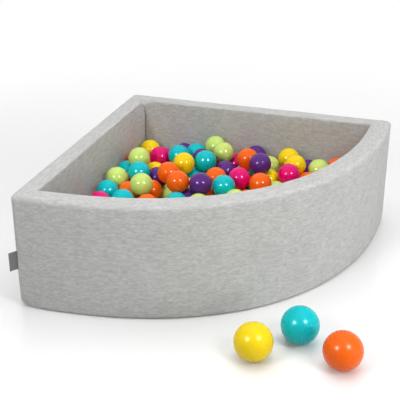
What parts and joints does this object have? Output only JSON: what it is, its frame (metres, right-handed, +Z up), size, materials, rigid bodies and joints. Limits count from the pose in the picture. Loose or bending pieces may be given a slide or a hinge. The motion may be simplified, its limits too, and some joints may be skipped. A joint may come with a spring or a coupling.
{
  "type": "corner ball pit",
  "caption": "Quarter-round corner ball pit: foam walls in removable jersey covers round a base mat, filled with loose plastic balls, with three larger balls beside it.",
  "frame": {"origin": "middle of the square that the two straight walls span, on the floor", "axes": "+Z up; +X to the right along the straight back wall; +Y towards the back wall, so that the round front faces -Y and +X"},
  "size_m": [0.9766, 1.0031, 0.342],
  "materials": {
    "jersey": "light grey melange cotton jersey",
    "foam": "open-cell foam",
    "label_ribbon": "woven ribbon",
    "zip_tape": "woven polyester",
    "zip_teeth": "moulded coil",
    "zip_metal": "satin nickel",
    "ball_plastic_mixed": "glossy",
    "ball_plastic_yellow": "glossy",
    "ball_plastic_pink": "glossy",
    "ball_plastic_green": "glossy",
    "ball_plastic_turquoise": "glossy",
    "ball_plastic_orange": "glossy",
    "ball_plastic_purple": "glossy"
  },
  "bodies": {
    "root": {"cover_left": "jersey", "cover_back": "jersey", "cover_front": "jersey", "cover_underside": "jersey", "cover_floor": "jersey", "foam_wall_left": "foam", "foam_wall_back": "foam", "foam_wall_front": "foam", "base_mat_foam": "foam", "ball_heap": "ball_plastic_mixed", "label_tab": "label_ribbon", "zip_tape_upper": "zip_tape", "zip_tape_lower": "zip_tape", "zip_chain": "zip_teeth", "zip_stop_left": "zip_metal", "zip_stop_right": "zip_metal"},
    "ball_yellow_1": {"ball_yellow_1": "ball_plastic_yellow"},
    "ball_yellow_2": {"ball_yellow_2": "ball_plastic_yellow"},
    "ball_pink_1": {"ball_pink_1": "ball_plastic_pink"},
    "ball_pink_2": {"ball_pink_2": "ball_plastic_pink"},
    "ball_pink_3": {"ball_pink_3": "ball_plastic_pink"},
    "ball_green_1": {"ball_green_1": "ball_plastic_green"},
    "ball_green_2": {"ball_green_2": "ball_plastic_green"},
    "ball_green_3": {"ball_green_3": "ball_plastic_green"},
    "ball_green_4": {"ball_green_4": "ball_plastic_green"},
    "ball_green_5": {"ball_green_5": "ball_plastic_green"},
    "ball_green_6": {"ball_green_6": "ball_plastic_green"},
    "ball_turquoise_1": {"ball_turquoise_1": "ball_plastic_turquoise"},
    "ball_turquoise_2": {"ball_turquoise_2": "ball_plastic_turquoise"},
    "ball_turquoise_3": {"ball_turquoise_3": "ball_plastic_turquoise"},
    "ball_turquoise_4": {"ball_turquoise_4": "ball_plastic_turquoise"},
    "ball_turquoise_5": {"ball_turquoise_5": "ball_plastic_turquoise"},
    "ball_orange_1": {"ball_orange_1": "ball_plastic_orange"},
    "ball_orange_2": {"ball_orange_2": "ball_plastic_orange"},
    "ball_orange_3": {"ball_orange_3": "ball_plastic_orange"},
    "ball_orange_4": {"ball_orange_4": "ball_plastic_orange"},
    "ball_purple_1": {"ball_purple_1": "ball_plastic_purple"},
    "ball_purple_2": {"ball_purple_2": "ball_plastic_purple"},
    "loose_ball_yellow": {"loose_ball_yellow": "ball_plastic_yellow"},
    "loose_ball_turquoise": {"loose_ball_turquoise": "ball_plastic_turquoise"},
    "loose_ball_orange": {"loose_ball_orange": "ball_plastic_orange"},
    "slider": {"zip_slider": "zip_metal"},
    "pull_tab": {"zip_pull_tab": "zip_metal"}
  },
  "joints": [
    {"name": "lift_ball_yellow_1", "type": "slide", "parent": "root", "child": "ball_yellow_1", "axis": [0, 0, 1], "range_m": [0, 0.25]},
    {"name": "lift_ball_yellow_2", "type": "slide", "parent": "root", "child": "ball_yellow_2", "axis": [0, 0, 1], "range_m": [0, 0.25]},
    {"name": "lift_ball_pink_1", "type": "slide", "parent": "root", "child": "ball_pink_1", "axis": [0, 0, 1], "range_m": [0, 0.25]},
    {"name": "lift_ball_pink_2", "type": "slide", "parent": "root", "child": "ball_pink_2", "axis": [0, 0, 1], "range_m": [0, 0.25]},
    {"name": "lift_ball_pink_3", "type": "slide", "parent": "root", "child": "ball_pink_3", "axis": [0, 0, 1], "range_m": [0, 0.25]},
    {"name": "lift_ball_green_1", "type": "slide", "parent": "root", "child": "ball_green_1", "axis": [0, 0, 1], "range_m": [0, 0.25]},
    {"name": "lift_ball_green_2", "type": "slide", "parent": "root", "child": "ball_green_2", "axis": [0, 0, 1], "range_m": [0, 0.25]},
    {"name": "lift_ball_green_3", "type": "slide", "parent": "root", "child": "ball_green_3", "axis": [0, 0, 1], "range_m": [0, 0.25]},
    {"name": "lift_ball_green_4", "type": "slide", "parent": "root", "child": "ball_green_4", "axis": [0, 0, 1], "range_m": [0, 0.25]},
    {"name": "lift_ball_green_5", "type": "slide", "parent": "root", "child": "ball_green_5", "axis": [0, 0, 1], "range_m": [0, 0.25]},
    {"name": "lift_ball_green_6", "type": "slide", "parent": "root", "child": "ball_green_6", "axis": [0, 0, 1], "range_m": [0, 0.25]},
    {"name": "lift_ball_turquoise_1", "type": "slide", "parent": "root", "child": "ball_turquoise_1", "axis": [0, 0, 1], "range_m": [0, 0.25]},
    {"name": "lift_ball_turquoise_2", "type": "slide", "parent": "root", "child": "ball_turquoise_2", "axis": [0, 0, 1], "range_m": [0, 0.25]},
    {"name": "lift_ball_turquoise_3", "type": "slide", "parent": "root", "child": "ball_turquoise_3", "axis": [0, 0, 1], "range_m": [0, 0.25]},
    {"name": "lift_ball_turquoise_4", "type": "slide", "parent": "root", "child": "ball_turquoise_4", "axis": [0, 0, 1], "range_m": [0, 0.25]},
    {"name": "lift_ball_turquoise_5", "type": "slide", "parent": "root", "child": "ball_turquoise_5", "axis": [0, 0, 1], "range_m": [0, 0.25]},
    {"name": "lift_ball_orange_1", "type": "slide", "parent": "root", "child": "ball_orange_1", "axis": [0, 0, 1], "range_m": [0, 0.25]},
    {"name": "lift_ball_orange_2", "type": "slide", "parent": "root", "child": "ball_orange_2", "axis": [0, 0, 1], "range_m": [0, 0.25]},
    {"name": "lift_ball_orange_3", "type": "slide", "parent": "root", "child": "ball_orange_3", "axis": [0, 0, 1], "range_m": [0, 0.25]},
    {"name": "lift_ball_orange_4", "type": "slide", "parent": "root", "child": "ball_orange_4", "axis": [0, 0, 1], "range_m": [0, 0.25]},
    {"name": "lift_ball_purple_1", "type": "slide", "parent": "root", "child": "ball_purple_1", "axis": [0, 0, 1], "range_m": [0, 0.25]},
    {"name": "lift_ball_purple_2", "type": "slide", "parent": "root", "child": "ball_purple_2", "axis": [0, 0, 1], "range_m": [0, 0.25]},
    {"name": "lift_loose_ball_yellow", "type": "slide", "parent": "root", "child": "loose_ball_yellow", "axis": [0, 0, 1], "range_m": [0, 0.25]},
    {"name": "lift_loose_ball_turquoise", "type": "slide", "parent": "root", "child": "loose_ball_turquoise", "axis": [0, 0, 1], "range_m": [0, 0.25]},
    {"name": "lift_loose_ball_orange", "type": "slide", "parent": "root", "child": "loose_ball_orange", "axis": [0, 0, 1], "range_m": [0, 0.25]},
    {"name": "zip_run", "type": "slide", "parent": "root", "child": "slider", "axis": [1, 0, 0], "range_m": [0, 0.698]},
    {"name": "pull_tab_flip", "type": "hinge", "parent": "slider", "child": "pull_tab", "pos_m": [-0.3492, 0.456, 0.045], "axis": [0, 0, 1], "range_deg": [0, 170]}
  ]
}
